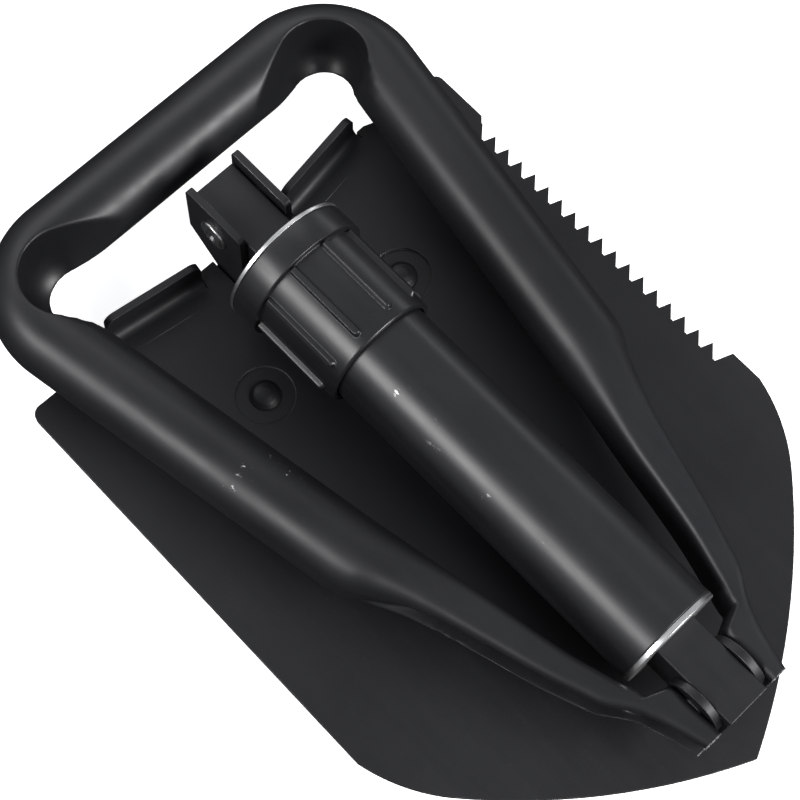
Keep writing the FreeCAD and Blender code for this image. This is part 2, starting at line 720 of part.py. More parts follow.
def make_collar():
    edge = "dims.collar_edge"
    front = "(-dims.ring_face - dims.ring_thick)"
    groove_front = "(-dims.snap_at + 0.1)"
    groove_back = "(-dims.snap_at - dims.snap_thick - 0.1)"
    points = [
        (front, "dims.hub_radius + dims.fit_gap"),
        (front, "dims.collar_flange"),
        ("-dims.collar_flange_end + " + edge, "dims.collar_flange"),
        ("-dims.collar_flange_end", "dims.collar_flange - " + edge),
        ("-dims.collar_flange_end", "dims.collar_body"),
        ("-dims.collar_end + 1.2", "dims.collar_body"),
        ("-dims.collar_end", "dims.collar_body - 0.9"),
        ("-dims.collar_end", "dims.collar_tail_bore"),
        ("-dims.collar_tail_from", "dims.collar_tail_bore"),
        ("-dims.collar_tail_from", "dims.collar_thread"),
        ("-dims.hub_end - 0.2", "dims.collar_thread"),
        ("-dims.hub_end - 0.2", "dims.hub_radius + dims.fit_gap"),
        (groove_back, "dims.hub_radius + dims.fit_gap"),
        (groove_back, "dims.snap_outer"),
        (groove_front, "dims.snap_outer"),
        (groove_front, "dims.hub_radius + dims.fit_gap"),
    ]
    body = turned("collar", points)
    middle = "(-dims.sleeve_rear - 2 * dims.thread_lead)"
    ring_grooves(
        body,
        "collar_thread",
        [
            (middle + " + dims.thread_lead / 3", "dims.collar_thread - 0.1"),
            (middle, "dims.collar_thread + dims.thread_depth"),
            (middle + " - dims.thread_lead / 3", "dims.collar_thread - 0.1"),
        ],
    )
    rib = sketch_in(body, "rib_outline", "XY_Plane")
    outline(
        rib,
        [
            ("dims.rib_half", "-dims.collar_flange_end + 0.5"),
            ("-dims.rib_half", "-dims.collar_flange_end + 0.5"),
            ("-dims.rib_half", "-dims.rib_end + dims.rib_half"),
            ("dims.rib_half", "-dims.rib_end + dims.rib_half"),
        ],
        {2: ("dims.rib_half * 1.02", -1)},
    )
    bind(rib, {"AttachmentOffset.Base.z": "dims.collar_body - 0.8"})
    pad = body.newObject("PartDesign::Pad", "rib")
    pad.Profile = rib
    bind(pad, {"Length": "dims.rib_top - dims.collar_body + 0.8"})
    body.Tip = pad
    doc.recompute()
    ring = body.newObject("PartDesign::PolarPattern", "ribs")
    ring.Originals = [pad]
    ring.Axis = ([o for o in body.Origin.OriginFeatures if o.Role == "Y_Axis"][0], [""])
    ring.Angle = 360
    bind(ring, {"Occurrences": "dims.rib_count"})
    body.Tip = ring
    body.Placement.Rotation = FreeCAD.Rotation(V(0, 1, 0), 1)
    bind(body, {"Placement.Rotation.Angle": "dims.rib_turn"})
    return place(body, on_axis=True)


def make_thrust_ring():
    """The bright ring on the collar's face, with the hub that the collar turns on."""
    edge = "0.3"
    points = [
        ("-dims.ring_face", "dims.ring_bore"),
        ("-dims.ring_face", "dims.collar_flange - " + edge),
        ("-dims.ring_face - " + edge, "dims.collar_flange"),
        ("-dims.ring_face - dims.ring_thick", "dims.collar_flange"),
        ("-dims.ring_face - dims.ring_thick", "dims.hub_radius"),
        ("-dims.snap_at + 0.1", "dims.hub_radius"),
        ("-dims.snap_at + 0.1", "dims.groove_floor"),
        ("-dims.snap_at - dims.snap_thick - 0.1", "dims.groove_floor"),
        ("-dims.snap_at - dims.snap_thick - 0.1", "dims.hub_radius"),
        ("-dims.hub_end", "dims.hub_radius"),
        ("-dims.hub_end", "dims.ring_bore"),
    ]
    return place(turned("collar_thrust_ring", points), on_axis=True)


def make_snap_ring():
    points = [
        ("-dims.snap_at", "dims.snap_inner"),
        ("-dims.snap_at", "dims.snap_outer"),
        ("-dims.snap_at - dims.snap_thick", "dims.snap_outer"),
        ("-dims.snap_at - dims.snap_thick", "dims.snap_inner"),
    ]
    ring = turned("snap_ring_blank", points)
    opening = box("snap_ring_opening", ("-1.5", "-200", "0"), ("3", "400", "30"))
    return place(cut("collar_snap_ring", ring, opening), on_axis=True)


# ---------------------------------------------------------------- handle


def rounded_rectangle(sketch, left, right, low, high, corner):
    points = [
        (left + " + " + corner, low),
        (right + " - " + corner, low),
        (right, low + " + " + corner),
        (right, high + " - " + corner),
        (right + " - " + corner, high),
        (left + " + " + corner, high),
        (left, high + " - " + corner),
        (left, low + " + " + corner),
    ]
    return outline(sketch, points, {edge: (corner, -1) for edge in (1, 3, 5, 7)})


def rounded_section(name, station, inset="0", inner=None, outer=None, corner=None):
    """A rounded rectangle across the +X leg at one station, set in from the leg's outline by inset."""
    field = "dims.leg_" + station + "_"
    low_x = inner or "(" + field + "inner + " + inset + ")"
    high_x = outer or "(" + field + "outer - " + inset + ")"
    low_z = "(" + field + "low + " + inset + ")"
    high_z = "(" + field + "top - " + inset + ")"
    round_by = corner or "(" + field + "corner - " + inset + ")"
    sketch = doc.addObject("Sketcher::SketchObject", name)
    sketch.Placement.Rotation = FreeCAD.Rotation(V(1, 0, 0), 90)
    bind(sketch, {"Placement.Base.y": "-" + field + "at"})
    return rounded_rectangle(sketch, low_x, high_x, low_z, high_z, round_by)


def round_section(name, radius):
    """The tube's round section, square to the leg, where the pressed part begins."""
    sketch = doc.addObject("Sketcher::SketchObject", name)
    slant = FreeCAD.Rotation(V(0, 0, 1), -value("atan(dims.leg_slope)"))
    sketch.Placement.Rotation = slant.multiply(FreeCAD.Rotation(V(1, 0, 0), 90))
    bind(
        sketch,
        {
            "Placement.Base.x": "dims.leg_at_pin - dims.leg_slope * dims.leg_round_end",
            "Placement.Base.y": "-dims.leg_round_end",
            "Placement.Base.z": "dims.handle_height",
        },
    )
    whole = "(" + radius + ")"
    low = "-" + whole
    return rounded_rectangle(sketch, low, whole, low, whole, "(" + radius + " - 0.1)")


def tube_path():
    """The centre line of half the bent tube: half the crossbar, the corner bend and the round leg."""
    slope = value("dims.leg_slope")
    along = V(slope, 1, 0).normalize()
    corner = V(value("dims.leg_at_pin") + slope * value("dims.grip_y"), value("dims.grip_y"), 0)
    turn = math.acos(V(1, 0, 0).dot(along))
    back = value("dims.corner_radius") * math.tan((math.pi - turn) / 2)
    first = corner - V(1, 0, 0) * back
    second = corner - along * back
    centre = first - V(0, value("dims.corner_radius"), 0)
    middle = centre + (corner - centre).normalize() * value("dims.corner_radius")
    last_y = -value("dims.leg_round_end")
    last = V(value("dims.leg_at_pin") + slope * last_y, last_y, 0)
    start = V(0, value("dims.grip_y"), 0)
    edges = [
        Part.LineSegment(start, first).toShape(),
        Part.Arc(first, middle, second).toShape(),
        Part.LineSegment(second, last).toShape(),
    ]
    path = doc.addObject("Part::Feature", "tube_path")
    path.Shape = Part.Wire(edges)
    path.Placement.Base = V(0, 0, value("dims.handle_height"))
    return path


def tube_sweep(name, path, radius):
    """A round bar swept along the tube's centre line from the middle of the crossbar."""
    circle = doc.addObject("Sketcher::SketchObject", name + "_circle")
    circle.addGeometry(Part.Circle(V(0, 0, 0), V(0, 0, 1), value(radius)), False)
    row = circle.addConstraint(Sketcher.Constraint("Radius", 0, value(radius)))
    circle.setExpression("Constraints[%d]" % row, radius)
    circle.addConstraint(Sketcher.Constraint("Coincident", 0, 3, -1, 1))
    circle.Placement.Rotation = FreeCAD.Rotation(V(0, 1, 0), 90)
    bind(circle, {"Placement.Base.y": "dims.grip_y", "Placement.Base.z": "dims.handle_height"})
    edges = ["Edge%d" % number for number in range(1, len(path.Shape.Edges) + 1)]
    return new(
        "Part::Sweep",
        name,
        links={"Sections": [circle], "Spine": (path, edges), "Solid": True, "Frenet": False},
    )


def loft(name, sections):
    return new("Part::Loft", name, links={"Sections": sections, "Solid": True, "Ruled": True})


def make_handle():
    """The bent tube: hollow and round in the grip, pressed to an outward-open channel at its ends."""
    path = tube_path()
    pressed = [rounded_section("leg_" + station, station) for station in LEG_STATIONS]
    outer_leg = loft("leg_outside", [round_section("leg_round", "dims.grip_radius")] + pressed)
    half_solid = joined("half_handle", [tube_sweep("tube_outside", path, "dims.grip_radius"), outer_leg])

    bore = tube_sweep("tube_inside", path, "dims.grip_radius - dims.grip_wall")
    narrowing = [rounded_section("bore_" + s, s, "dims.grip_wall") for s in ("pinch", "fold")]
    hollow = loft("leg_inside", [round_section("bore_round", "dims.grip_radius - dims.grip_wall")] + narrowing)
    wall = "dims.press_wall"
    beyond = "(dims.leg_{0}_outer + 4)"
    channel = []
    for station in ("upper", "middle", "lower", "neck", "step"):
        channel.append(
            rounded_section(
                "channel_" + station,
                station,
                wall,
                outer=beyond.format(station),
                corner="0.8",
            )
        )
    upper_channel = loft("channel_upper", channel)
    ends = []
    for station in ("pivot", "end"):
        ends.append(
            rounded_section(
                "channel_" + station,
                station,
                wall,
                outer=beyond.format(station),
                corner="0.8",
            )
        )
    bind(ends[0], {"Placement.Base.y": "-dims.leg_flat_at - dims.press_wall"})
    bind(ends[1], {"Placement.Base.y": "-dims.leg_end_at - 1"})
    end_channel = loft("channel_end", ends)
    bridge = box(
        "channel_bridge",
        ("dims.leg_step_inner + " + wall, "-dims.leg_flat_at - dims.press_wall - 0.5", "dims.leg_pivot_low + " + wall),
        ("8", "dims.leg_flat_at - dims.leg_step_at + dims.press_wall + 0.8",
         "dims.leg_pivot_top - dims.leg_pivot_low - 2 * " + wall),
    )
    bore_hole = cross_bore("handle_bore", "dims.pin_radius", "dims.between_pins")
    tools = joined("handle_hollows", [bore, hollow, upper_channel, end_channel, bridge, bore_hole])
    half = cut("half_handle_cut", half_solid, tools)
    return place(joined("handle_frame", [half, mirrored("half_handle_other", half)]))


def make_washer(name, sign):
    """A spacer washer between the spine and one leg."""
    near = "(dims.spine_half + 0.15)"
    far = "(dims.spine_half + 0.15 + dims.washer_thick)"
    inner = "dims.pin_radius"
    points = [
        (sign + " * " + near, inner),
        (sign + " * " + far, inner),
        (sign + " * " + far, "dims.washer_radius"),
        (sign + " * " + near, "dims.washer_radius"),
    ]
    body = turned(name, points, plane="XZ_Plane")
    bind(body, {"Placement.Base.z": "dims.axis_height"})
    bind(body, {"Placement.Base.y": "dims.pin_line - dims.between_pins"})
    return body


def main():
    fill_sheet()
    nodes = [
        make_blade(),
        make_bracket(),
        make_rivets(),
        headed_pin("blade_pivot_pin", "dims.ear_outer", "0"),
        spacer_bush("blade_pivot_bush", "0"),
        make_spine(),
        spacer_bush("handle_pivot_bush", "dims.between_pins"),
        make_tube(),
        make_end_cap(),
        make_sleeve(),
        guide_bush("rear_guide_bush", "dims.sleeve_bore", "dims.sleeve_rear + 2"),
        guide_bush("front_guide_bush", "dims.tube_bore", "dims.tube_front - dims.cap_spigot - dims.bush_length"),
        make_collar(),
        make_thrust_ring(),
        make_snap_ring(),
        make_handle(),
        headed_pin("handle_pivot_pin", "(dims.leg_pivot_inner + dims.press_wall)", "dims.between_pins"),
        make_washer("handle_washer_right", "1"),
        make_washer("handle_washer_left", "-1"),
    ]
    doc.recompute()
    faulty = [o.Name for o in doc.Objects if "Invalid" in o.State or "Error" in o.State]
    if faulty:
        raise SystemExit("failed objects: " + ", ".join(faulty))
    os.makedirs("parts", exist_ok=True)
    for node in nodes:
        shape = node.Shape
        if shape.isNull() or not shape.isValid():
            raise SystemExit(node.Label + " has no valid shape")
        box_ = shape.BoundBox
        print(
            "%-22s solids %d  volume %9.1f  x %7.2f..%7.2f  y %7.2f..%7.2f  z %6.2f..%6.2f"
            % (node.Label, len(shape.Solids), shape.Volume, box_.XMin, box_.XMax, box_.YMin, box_.YMax,
               box_.ZMin, box_.ZMax)
        )
        shape.exportStep("parts/" + node.Label + ".step")


main()
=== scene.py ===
"""Looks of the folding camp shovel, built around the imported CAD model. Metres throughout."""

import json
import math

import bmesh
import bpy
import numpy as np
from mathutils import Matrix, Vector


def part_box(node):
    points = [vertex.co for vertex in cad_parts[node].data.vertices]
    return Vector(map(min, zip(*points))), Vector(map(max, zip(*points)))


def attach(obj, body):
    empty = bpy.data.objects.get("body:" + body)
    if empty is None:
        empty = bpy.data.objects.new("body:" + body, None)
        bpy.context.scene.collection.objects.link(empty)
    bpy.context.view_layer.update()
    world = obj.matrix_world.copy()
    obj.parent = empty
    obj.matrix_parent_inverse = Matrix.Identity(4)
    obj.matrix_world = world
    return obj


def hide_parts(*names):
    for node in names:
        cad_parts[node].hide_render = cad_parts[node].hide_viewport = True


MM = 0.001

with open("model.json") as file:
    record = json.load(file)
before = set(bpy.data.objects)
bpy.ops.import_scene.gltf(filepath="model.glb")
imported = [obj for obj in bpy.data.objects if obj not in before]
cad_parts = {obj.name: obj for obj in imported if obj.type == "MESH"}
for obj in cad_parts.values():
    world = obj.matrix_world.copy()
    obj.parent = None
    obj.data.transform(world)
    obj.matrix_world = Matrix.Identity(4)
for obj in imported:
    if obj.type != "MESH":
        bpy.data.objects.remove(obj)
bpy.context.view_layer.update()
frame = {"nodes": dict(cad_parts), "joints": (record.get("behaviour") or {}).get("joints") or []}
nodes = frame["nodes"]
joints = {joint["name"]: joint for joint in frame["joints"]}

# Places read from the frame
PIN = Vector(joints["blade_fold"]["pos_m"])           # blade pivot, on the shaft's axis
HANDLE_PIN = Vector(joints["handle_fold"]["pos_m"])
handle_low, handle_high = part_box("handle_frame")
tube_low, tube_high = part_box("shaft_tube")
collar_low, collar_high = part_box("collar")

# Handle tube
GRIP_RADIUS = 10.4 * MM
GRIP_Y = handle_high.y - GRIP_RADIUS
GRIP_Z = (handle_low.z + handle_high.z) / 2
CORNER_RADIUS = 18.6 * MM
LEG_SLOPE = 0.176                                     # the legs close in towards the hinge
LEG_AT_PIN = 57.08 * MM
ROUND_END = 86.0 * MM                                 # the round tube ends here, from the blade pin
HANDLE_AROUND = 128                                   # points round the tube
SECTION_POINTS = 360                                  # points of a round section while it is dented
PRESSED_POINTS = 600                                  # points of a pressed section while it is shaped


# ---------------------------------------------------------------- mesh helpers


def ease(t):
    t = np.clip(t, 0.0, 1.0)
    return t * t * (3.0 - 2.0 * t)


def flow(stations, at):
    """Reads a table of stations (position, value, value...) smoothly and without overshoot."""
    table = np.array(stations, float)
    places, values = table[:, 0], table[:, 1:]
    steps = np.diff(places)
    slopes = np.diff(values, axis=0) / steps[:, None]
    tangents = np.zeros_like(values)
    inner = slopes[:-1] * slopes[1:] > 0
    safe = np.where(inner, slopes[:-1] + slopes[1:], 1.0)
    tangents[1:-1] = np.where(inner, 2 * slopes[:-1] * slopes[1:] / safe, 0.0)
    tangents[0], tangents[-1] = slopes[0], slopes[-1]
    i = int(np.clip(np.searchsorted(places, at) - 1, 0, len(steps) - 1))
    t = np.clip((at - places[i]) / steps[i], 0.0, 1.0)
    a, b = values[i], values[i + 1]
    ta, tb = tangents[i] * steps[i], tangents[i + 1] * steps[i]
    return (
        (2 * t**3 - 3 * t**2 + 1) * a
        + (t**3 - 2 * t**2 + t) * ta
        + (-2 * t**3 + 3 * t**2) * b
        + (t**3 - t**2) * tb
    )


def rounded_path(corners, radii, steps=6, closed=True):
    """A polygon with each corner turned into an arc of its own radius, as an array of 2D points."""
    corners = np.array(corners, float)
    count = len(corners)
    out = []
    for i in range(count):
        p = corners[i]
        if not closed and i in (0, count - 1) or radii[i] <= 0:
            out.append(p)
            continue
        to_last, to_next = corners[i - 1] - p, corners[(i + 1) % count] - p
        la, lb = np.linalg.norm(to_last), np.linalg.norm(to_next)
        if la < 1e-9 or lb < 1e-9:
            out.append(p)
            continue
        to_last, to_next = to_last / la, to_next / lb
        half = math.acos(float(np.clip(to_last @ to_next, -1, 1))) / 2
        if half > math.pi / 2 - 1e-3:
            out.append(p)
            continue
        back = min(radii[i] / math.tan(half), 0.5 * la, 0.5 * lb)
        radius = back * math.tan(half)
        middle = to_last + to_next
        centre = p + middle / np.linalg.norm(middle) * radius / math.sin(half)
        a, b = p + to_last * back - centre, p + to_next * back - centre
        start = math.atan2(a[1], a[0])
        sweep = math.atan2(b[1], b[0]) - start
        sweep = (sweep + math.pi) % (2 * math.pi) - math.pi
        for k in range(steps + 1):
            angle = start + sweep * k / steps
            out.append(centre + radius * np.array([math.cos(angle), math.sin(angle)]))
    return np.array(out)


def even_loop(points, count):
    """Spaces count points evenly round a closed outline, from its first point."""
    ring = np.vstack([points, points[:1]])
    along = np.concatenate([[0.0], np.cumsum(np.linalg.norm(np.diff(ring, axis=0), axis=1))])
    want = np.linspace(0.0, along[-1], count, endpoint=False)
    return np.stack([np.interp(want, along, ring[:, k]) for k in range(ring.shape[1])], axis=1)


def mesh_object(name, points, faces, smooth_angle=32.0):
    """A mesh piece whose edges stay sharp only where its faces meet at more than smooth_angle degrees."""
    mesh = bpy.data.meshes.new(name)
    mesh.from_pydata([tuple(p) for p in points], [], faces)
    mesh.update()
    bm = bmesh.new()
    bm.from_mesh(mesh)
    bmesh.ops.remove_doubles(bm, verts=bm.verts, dist=1e-7)
    bmesh.ops.recalc_face_normals(bm, faces=bm.faces)
    for face in bm.faces:
        face.smooth = True
    for edge in bm.edges:
        edge.smooth = len(edge.link_faces) == 2 and edge.calc_face_angle(0.0) < math.radians(smooth_angle)
    bm.to_mesh(mesh)
    bm.free()
    piece = bpy.data.objects.new(name, mesh)
    bpy.context.scene.collection.objects.link(piece)
    return piece


def grid_faces(rows, columns, close_rows=False, close_columns=True):
    faces = []
    for i in range(rows if close_rows else rows - 1):
        for j in range(columns if close_columns else columns - 1):
            a, b = i, (i + 1) % rows
            c, d = j, (j + 1) % columns
            faces.append((a * columns + c, a * columns + d, b * columns + d, b * columns + c))
    return faces


def lathe(name, profile, axis, centre, segments=96, bump=None):
    """Turns a closed profile of (distance along the axis, radius) points about a line through centre.
    bump(along, radius, angle) may add to the radius."""
    profile = np.array(profile, float)
    angles = np.linspace(0.0, 2 * math.pi, segments, endpoint=False)
    axis = Vector(axis).normalized()
    across = axis.orthogonal().normalized() if abs(axis.z) > 0.9 else Vector((0, 0, 1))
    side = axis.cross(across)
    points = []
    for angle in angles:
        out = np.array(across) * math.cos(angle) + np.array(side) * math.sin(angle)
        for along, radius in profile:
            extra = bump(along, radius, angle) if bump else 0.0
            points.append(np.array(centre) + np.array(axis) * along + out * (radius + extra))
    faces = grid_faces(segments, len(profile), close_rows=True)
    return mesh_object(name, points, faces)


# ---------------------------------------------------------------- handle

# The pressed part of a leg, in millimetres: distance from the blade pin, inner side, bottom of the
# pressed-in channel, outer side, underside, top, corner radius, half height of the channel's mouth.
# The first row lies on the round tube, and gives the pressed part the slope to start with.
PRESSED_LEG = (
    (80.0, 32.60, 53.40, 53.40, 10.60, 31.40, 10.40, 1.5),
    (86.0, 31.54, 52.34, 52.34, 10.60, 31.40, 10.40, 1.5),
    (91.0, 30.68, 50.60, 50.65, 10.62, 31.38, 9.70, 2.0),
    (96.0, 29.90, 46.90, 47.60, 10.75, 31.25, 8.30, 2.8),
    (101.0, 29.15, 43.20, 44.90, 11.00, 31.05, 6.70, 3.8),
    (106.0, 28.40, 39.00, 42.30, 11.30, 30.85, 5.20, 4.9),
    (110.0, 27.75, 35.40, 40.50, 11.50, 30.65, 4.20, 5.6),
    (114.0, 27.05, 32.20, 38.80, 11.70, 30.45, 3.50, 6.2),
    (119.0, 26.10, 29.60, 37.10, 11.85, 30.30, 3.00, 6.5),
    (126.0, 24.90, 27.60, 34.90, 12.00, 30.20, 2.70, 6.6),
    (142.0, 21.60, 24.00, 30.20, 12.40, 30.00, 2.60, 6.4),
    (151.0, 19.00, 21.40, 27.00, 12.90, 30.00, 2.60, 6.2),
    (156.0, 17.50, 19.90, 25.20, 13.20, 30.00, 2.60, 6.0),
    (160.3, 16.00, 18.70, 22.40, 14.00, 30.00, 2.60, 5.6),
    (162.0, 15.60, 18.30, 21.20, 14.60, 30.00, 2.60, 5.3),
    (163.4, 12.60, 17.40, 20.40, 14.90, 30.00, 2.60, 5.2),
    (164.8, 9.70, 15.60, 19.60, 15.00, 30.00, 2.60, 5.1),
    (166.5, 9.05, 12.60, 18.90, 15.00, 30.00, 2.60, 5.1),
    (168.0, 8.90, 11.50, 18.20, 15.00, 30.00, 2.60, 5.1),
    (172.0, 8.90, 11.30, 16.80, 15.00, 30.00, 2.60, 5.1),
    (181.3, 8.90, 11.30, 14.20, 15.00, 30.00, 2.60, 5.1),
)
# The dent pressed into the inside of each grip corner
DENT_AT = 55.0 * MM              # along the tube's middle line from the middle of the crossbar
DENT_BEFORE = 32.0 * MM
DENT_AFTER = 26.0 * MM
DENT_DEPTH = 8.6 * MM
DENT_TILT = math.radians(17.0)   # the dent faces the opening and a little upwards
DENT_HOLLOW = 0.34               # how far its floor is hollowed, as a share of its depth
DENT_SMOOTHINGS = 7
SLANT_REACH = 22.0               # mm over which the sections turn square to the shovel's length
CUT_CHAMFER = 0.3                # mm, round the cut end of a leg


def circle_section(dent):
    """The tube's round section, with its inner side pressed in. Columns: outward, up."""
    angles = math.pi - np.linspace(0.0, 2 * math.pi, SECTION_POINTS, endpoint=False)
    ring = GRIP_RADIUS * np.stack([np.cos(angles), np.sin(angles)], axis=1)
    if dent > 1e-3:
        facing = np.array([-math.cos(DENT_TILT), math.sin(DENT_TILT)])
        along = np.array([facing[1], -facing[0]])
        flat = GRIP_RADIUS - DENT_DEPTH * dent
        over = ring @ facing - flat
        half = math.sqrt(max(GRIP_RADIUS**2 - flat**2, 1e-12))
        across = np.clip((ring @ along) / half, -1, 1)
        low_side = (1 - across**2) * (1 - 0.55 * across)      # hollowed deepest towards the lower lip
        hollow = DENT_HOLLOW * DENT_DEPTH * dent * low_side
        push = np.where(over > 0, over + hollow, 0.0)
        ring = ring - push[:, None] * facing[None, :]
        for _ in range(DENT_SMOOTHINGS):
            ring = even_loop(ring, SECTION_POINTS)
            ring = 0.5 * ring + 0.25 * (np.roll(ring, 1, axis=0) + np.roll(ring, -1, axis=0))
    return even_loop(ring, HANDLE_AROUND)


def pressed_section(inner, web, outer, low, top, corner, mouth, inset=0.0):
    """A pressed section: a rounded box whose outer side is pushed in to an outward-open channel."""
    middle, width = (inner + outer) / 2, outer - inner
    corner = min(corner, 0.499 * width, 0.499 * (top - low))
    box = [(inner, top), (outer, top), (outer, low), (inner, low)]
    loop = np.vstack([[(inner, (low + top) / 2)], rounded_path(box, [corner] * 4, steps=24)])
    if outer - web > 0.02:
        centre = (low + top) / 2
        dense = even_loop(loop, PRESSED_POINTS)
        outside = (dense[:, 0] > middle) & (np.abs(dense[:, 1] - centre) < mouth)
        first, last = np.flatnonzero(outside)[[0, -1]]
        upper, lower = dense[first - 1], dense[(last + 1) % PRESSED_POINTS]
        taper = 0.35
        floor = [(web, centre + mouth - taper), (web, centre - mouth + taper)]
        before, after = dense[: first - 1 : 6], dense[last + 2 :: 6]
        points = list(before) + [upper] + floor + [lower] + list(after)
        soft = min(0.7, (outer - web) * 0.45)
        radii = [0.0] * len(before) + [soft, soft * 1.3, soft * 1.3, soft] + [0.0] * len(after)
        loop = rounded_path(points, radii, steps=6)
    ring = even_loop(loop, HANDLE_AROUND)
    if inset:
        edge = np.roll(ring, -1, axis=0) - np.roll(ring, 1, axis=0)
        normal = np.stack([edge[:, 1], -edge[:, 0]], axis=1)
        ring = ring - inset * normal / np.linalg.norm(normal, axis=1)[:, None]
    return ring


def dent_at(along):
    """How deep the dent is at a place along the tube, from 0 to 1."""
    reach = DENT_BEFORE if along < DENT_AT else DENT_AFTER
    away = min(abs(along - DENT_AT) / reach, 1.0)
    return (0.5 * (1 + math.cos(math.pi * away))) ** 0.7 if away < 1 else 0.0


def handle_rings():
    """The +X half of the handle as rings of points, from the middle of the crossbar to the leg's end."""
    leg = np.array([LEG_SLOPE, 1.0]) / math.hypot(LEG_SLOPE, 1.0)
    turn = math.pi - math.acos(leg[0])
    corner = np.array([LEG_AT_PIN + LEG_SLOPE * (GRIP_Y - PIN.y), GRIP_Y])
    back = CORNER_RADIUS * math.tan(turn / 2)
    straight = corner[0] - back
    arc_centre = np.array([straight, GRIP_Y - CORNER_RADIUS])
    arc_length = CORNER_RADIUS * turn
    leg_start = corner - leg * back
    leg_length = (leg_start[1] - (PIN.y - ROUND_END)) / leg[1]
    total = straight + arc_length + leg_length
    stops = [np.linspace(0, straight, 34)[:-1], np.linspace(straight, straight + arc_length, 50)[:-1]]
    stops.append(np.linspace(straight + arc_length, total, 30)[:-1])
    rings = []
    for along in np.concatenate(stops):
        if along < straight:
            at, outward = np.array([along, GRIP_Y]), np.array([0.0, 1.0])
        elif along < straight + arc_length:
            angle = (along - straight) / CORNER_RADIUS
            outward = np.array([math.sin(angle), math.cos(angle)])
            at = arc_centre + CORNER_RADIUS * outward
        else:
            at = leg_start - leg * (along - straight - arc_length)
            outward = np.array([leg[1], -leg[0]])
        section = circle_section(dent_at(along))
        flat = at[None, :] + section[:, :1] * outward[None, :]
        rings.append(np.column_stack([flat, GRIP_Z + section[:, 1]]))
    start, end = ROUND_END / MM, PRESSED_LEG[-1][0]
    runs = ((start, 160.0, 1.0), (160.0, 169.0, 0.5), (169.0, end, 1.5))
    places = np.concatenate([np.arange(*run) for run in runs])
    slant = math.atan(LEG_SLOPE)
    for place in list(places) + [end - CUT_CHAMFER - 0.05, end]:
        inner, web, outer, low, top, round_by, mouth = flow(PRESSED_LEG, place)
        inset = CUT_CHAMFER if place == end else 0.0
        section = pressed_section(inner, web, outer, low, top, round_by, mouth, inset) * MM
        middle = (inner + outer) / 2 * MM
        angle = slant * (1 - float(ease((place - start) / SLANT_REACH)))
        across = section[:, 0] - middle
        x = middle + across * math.cos(angle)
        y = PIN.y - place * MM - across * math.sin(angle)
        rings.append(np.column_stack([x, y, section[:, 1]]))
    return rings


def make_handle():
    """Both halves of the handle as one tube, closed at the cut ends of its legs."""
    rings = handle_rings()
    mirror = [ring * np.array([-1.0, 1.0, 1.0]) for ring in rings[:0:-1]]
    whole = mirror + rings
    points = np.vstack(whole)
    faces = grid_faces(len(whole), HANDLE_AROUND)
    last = (len(whole) - 1) * HANDLE_AROUND
    faces.append(tuple(range(HANDLE_AROUND)))
    faces.append(tuple(last + k for k in range(HANDLE_AROUND))[::-1])
    piece = mesh_object("handle", points, faces, smooth_angle=48.0)
    finish_piece(piece, "handle_body", "coated_steel", COATED_HANDLE, "handle_frame")
    return piece


# ---------------------------------------------------------------- collar and turned pieces

RIBS = 10
RIB_TURN = math.radians(18.0)


def make_collar():
    """The locking collar: a wide front flange, a body with soft moulded ribs, and its bore."""
    front, back = collar_high.y - PIN.y, collar_low.y - PIN.y
    body = 17.0 * MM
    step = back + 27.8 * MM
    rib_front, rib_back = step - 0.5 * MM, back + 4.2 * MM
    outline = [
        (front, 13.6), (front, 19.0), (step, 19.0), (step, 17.0),
        (back, 17.0), (back, 15.4), (back + 12.5 * MM, 15.4), (back + 12.5 * MM, 15.05),
        (front - 4.7 * MM, 15.05), (front - 4.7 * MM, 13.6),
    ]
    outline = [(along, radius * MM) for along, radius in outline]
    radii = [0.2, 0.5, 0.35, 0.25, 0.8, 0.4, 0.1, 0.1, 0.2, 0.2]
    profile = rounded_path(outline, [r * MM for r in radii], steps=5)
    dense = []
    for a, b in zip(profile, np.roll(profile, -1, axis=0)):
        on_body = abs(a[1] - body) < 1e-5 and abs(b[1] - body) < 1e-5
        pieces = max(1, int(np.linalg.norm(b - a) / (0.45 * MM))) if on_body else 1
        dense += [a + (b - a) * k / pieces for k in range(pieces)]

    def rib(along, radius, angle):
        if radius < body - 0.05 * MM or radius > body + 0.05 * MM:
            return 0.0
        pitch = 2 * math.pi / RIBS
        away = abs((angle - RIB_TURN + pitch / 2) % pitch - pitch / 2) * body
        past = max(0.0, rib_back - along, along - rib_front)
        gap = math.hypot(away, past) if along < rib_back else away
        if along > rib_front:
            return 0.0
        edge = (1.3 * MM - gap) / (0.65 * MM)
        return 1.25 * MM * float(ease(edge))

    piece = lathe("locking_collar", dense, (0, 1, 0), PIN, segments=500, bump=rib)
    finish_piece(piece, "collar_body", "collar_black", COLLAR_BLACK, "collar")
    return piece


def make_pin(name, centre, node, body, inner_reach):
    """A pivot pin with a rounded head and a drilled, spread dish at each end."""
    reach = (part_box(node)[1].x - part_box(node)[0].x) / 2
    shank, head, dish = 3.5 * MM, 4.6 * MM, 2.0 * MM
    half = [
        (reach - 1.0 * MM, 0.02 * MM), (reach - 1.0 * MM, dish * 0.55), (reach - 0.05 * MM, dish),
        (reach, dish + 0.8 * MM), (reach - 0.55 * MM, head), (inner_reach, head), (inner_reach, shank),
    ]
    outline = half + [(-along, radius) for along, radius in reversed(half)]
    radii = [0.0, 0.3, 0.3, 0.5, 0.5, 0.1, 0.0]
    profile = rounded_path(outline, [r * MM for r in radii + radii[::-1]], steps=4)
    piece = lathe(name, profile, (1, 0, 0), centre, segments=64)
    finish_piece(piece, body, "bare_steel", BARE_STEEL, node)
    return piece


